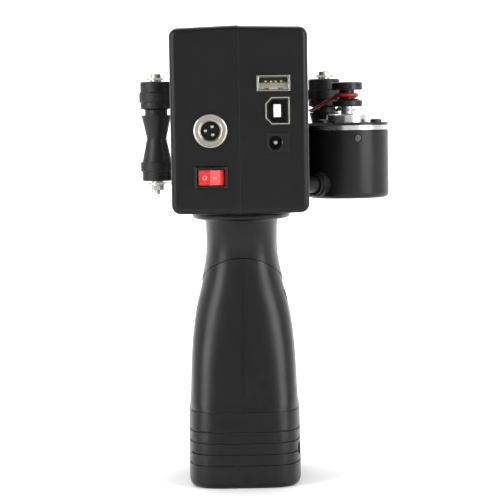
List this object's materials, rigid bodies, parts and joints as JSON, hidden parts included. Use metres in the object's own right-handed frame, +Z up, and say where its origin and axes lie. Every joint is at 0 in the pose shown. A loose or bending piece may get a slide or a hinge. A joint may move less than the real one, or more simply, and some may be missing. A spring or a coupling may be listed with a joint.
{
  "type": "handheld inkjet date coder",
  "caption": "Pistol-grip handheld inkjet date coder: box head with rear sockets and rocker switch, side guide rollers, belt-driven encoder, ink cartridge and flared handle.",
  "frame": {"origin": "centre of the flat underside of the handle, which the printer stands on", "axes": "+Z up; +Y out of the print face with the cartridge; -Y out of the rear panel with the sockets; +X to the right when looking at the rear panel, towards the encoder"},
  "size_m": [0.1236, 0.13, 0.2088],
  "materials": {
    "shell_plastic": "fine matte",
    "grip_plastic": "satin",
    "black_plastic": "satin",
    "gloss_black": "gloss",
    "stainless": "brushed",
    "bracket_zinc": "zinc plated sheet",
    "bracket_black": "satin black",
    "roller_black": "satin",
    "ring_rubber": "matte",
    "screw_zinc": "zinc plated",
    "screw_black": "black oxide",
    "encoder_metal": "machined",
    "encoder_cover": "satin black",
    "pulley_black": "black anodised",
    "belt_red": "satin",
    "chrome": "bright",
    "white_plastic": "satin",
    "rocker_red": "satin",
    "brass": "plain",
    "pcb_green": "solder mask",
    "screen_glass": "gloss",
    "display": "gloss",
    "cartridge_plastic": "satin",
    "battery_wrap": "shrink wrap",
    "disc_clear": "clear"
  },
  "bodies": {
    "housing": {"left_shell": "shell_plastic", "right_shell": "shell_plastic", "neck": "grip_plastic", "handle_left": "grip_plastic", "handle_right": "grip_plastic", "base_cap": "grip_plastic", "front_plate": "stainless", "left_bracket": "bracket_zinc", "right_bracket": "bracket_zinc", "encoder_plate": "bracket_black", "axle_screws": "screw_zinc", "axle_washers": "screw_zinc", "axle_nuts": "screw_zinc", "m3_screws": "screw_black", "shell_screws": "screw_black", "handle_screws": "screw_black", "encoder_base": "encoder_metal", "encoder_cover": "encoder_cover", "encoder_cover_screws": "screw_zinc", "encoder_mount_screws": "screw_black", "encoder_bearings": "stainless", "encoder_board": "pcb_green", "cable_gland": "black_plastic", "encoder_lead": "black_plastic", "lead_grommet": "ring_rubber", "drive_belt": "belt_red", "usb_a_shell": "chrome", "usb_a_tongue": "gloss_black", "usb_b_shell": "chrome", "usb_b_tongue": "white_plastic", "dc_jack_body": "gloss_black", "dc_jack_pin": "chrome", "sensor_socket_shell": "chrome", "sensor_socket_insulator": "black_plastic", "sensor_socket_pins": "brass", "sensor_socket_nut": "chrome", "switch_housing": "gloss_black", "screen_glass": "screen_glass", "display_module": "display", "main_board": "pcb_green", "cartridge_holder": "black_plastic", "contact_board": "pcb_green", "latch_pin": "stainless", "battery_pack": "battery_wrap", "trigger_switch": "black_plastic"},
    "left_roller": {"left_roller_core": "roller_black", "left_roller_rings": "ring_rubber"},
    "right_roller": {"right_roller_core": "roller_black", "right_roller_rings": "ring_rubber"},
    "encoder_rotor": {"encoder_shaft": "stainless", "encoder_pulley": "pulley_black", "pulley_set_screw": "screw_black", "encoder_disc": "disc_clear"},
    "rocker": {"power_rocker": "rocker_red"},
    "trigger_unit": {"trigger": "gloss_black", "trigger_plunger": "rocker_red"},
    "latch": {"latch_lever": "stainless"},
    "cartridge": {"cartridge_body": "cartridge_plastic", "nozzle_plate": "brass"}
  },
  "joints": [
    {"name": "left_roller_spin", "type": "hinge", "parent": "housing", "child": "left_roller", "pos_m": [-0.0425, 0.072, 0.162], "axis": [0, 0, 1], "continuous": true},
    {"name": "right_roller_spin", "type": "hinge", "parent": "housing", "child": "right_roller", "pos_m": [0.0425, 0.072, 0.162], "axis": [0, 0, 1], "continuous": true},
    {"name": "encoder_spin", "type": "hinge", "parent": "housing", "child": "encoder_rotor", "pos_m": [0.0526, 0.044, 0.162], "axis": [0, 0, 1], "continuous": true},
    {"name": "power_switch", "type": "hinge", "parent": "housing", "child": "rocker", "pos_m": [-0.0129, -0.0452, 0.1414], "axis": [0, 0, 1], "range_deg": [0, 20]},
    {"name": "trigger_press", "type": "slide", "parent": "housing", "child": "trigger_unit", "axis": [0, -1, 0], "range_m": [0, 0.003], "stiffness_N_per_m": 900},
    {"name": "latch_swing", "type": "hinge", "parent": "housing", "child": "latch", "pos_m": [0, 0.079, 0.2048], "axis": [1, 0, 0], "range_deg": [0, 95]},
    {"name": "cartridge_slide", "type": "slide", "parent": "housing", "child": "cartridge", "axis": [0, 1, 0], "range_m": [0, 0.06]}
  ],
  "couplings": [
    {"joint": "encoder_spin", "follows": "right_roller_spin", "ratio": 1.404}
  ]
}
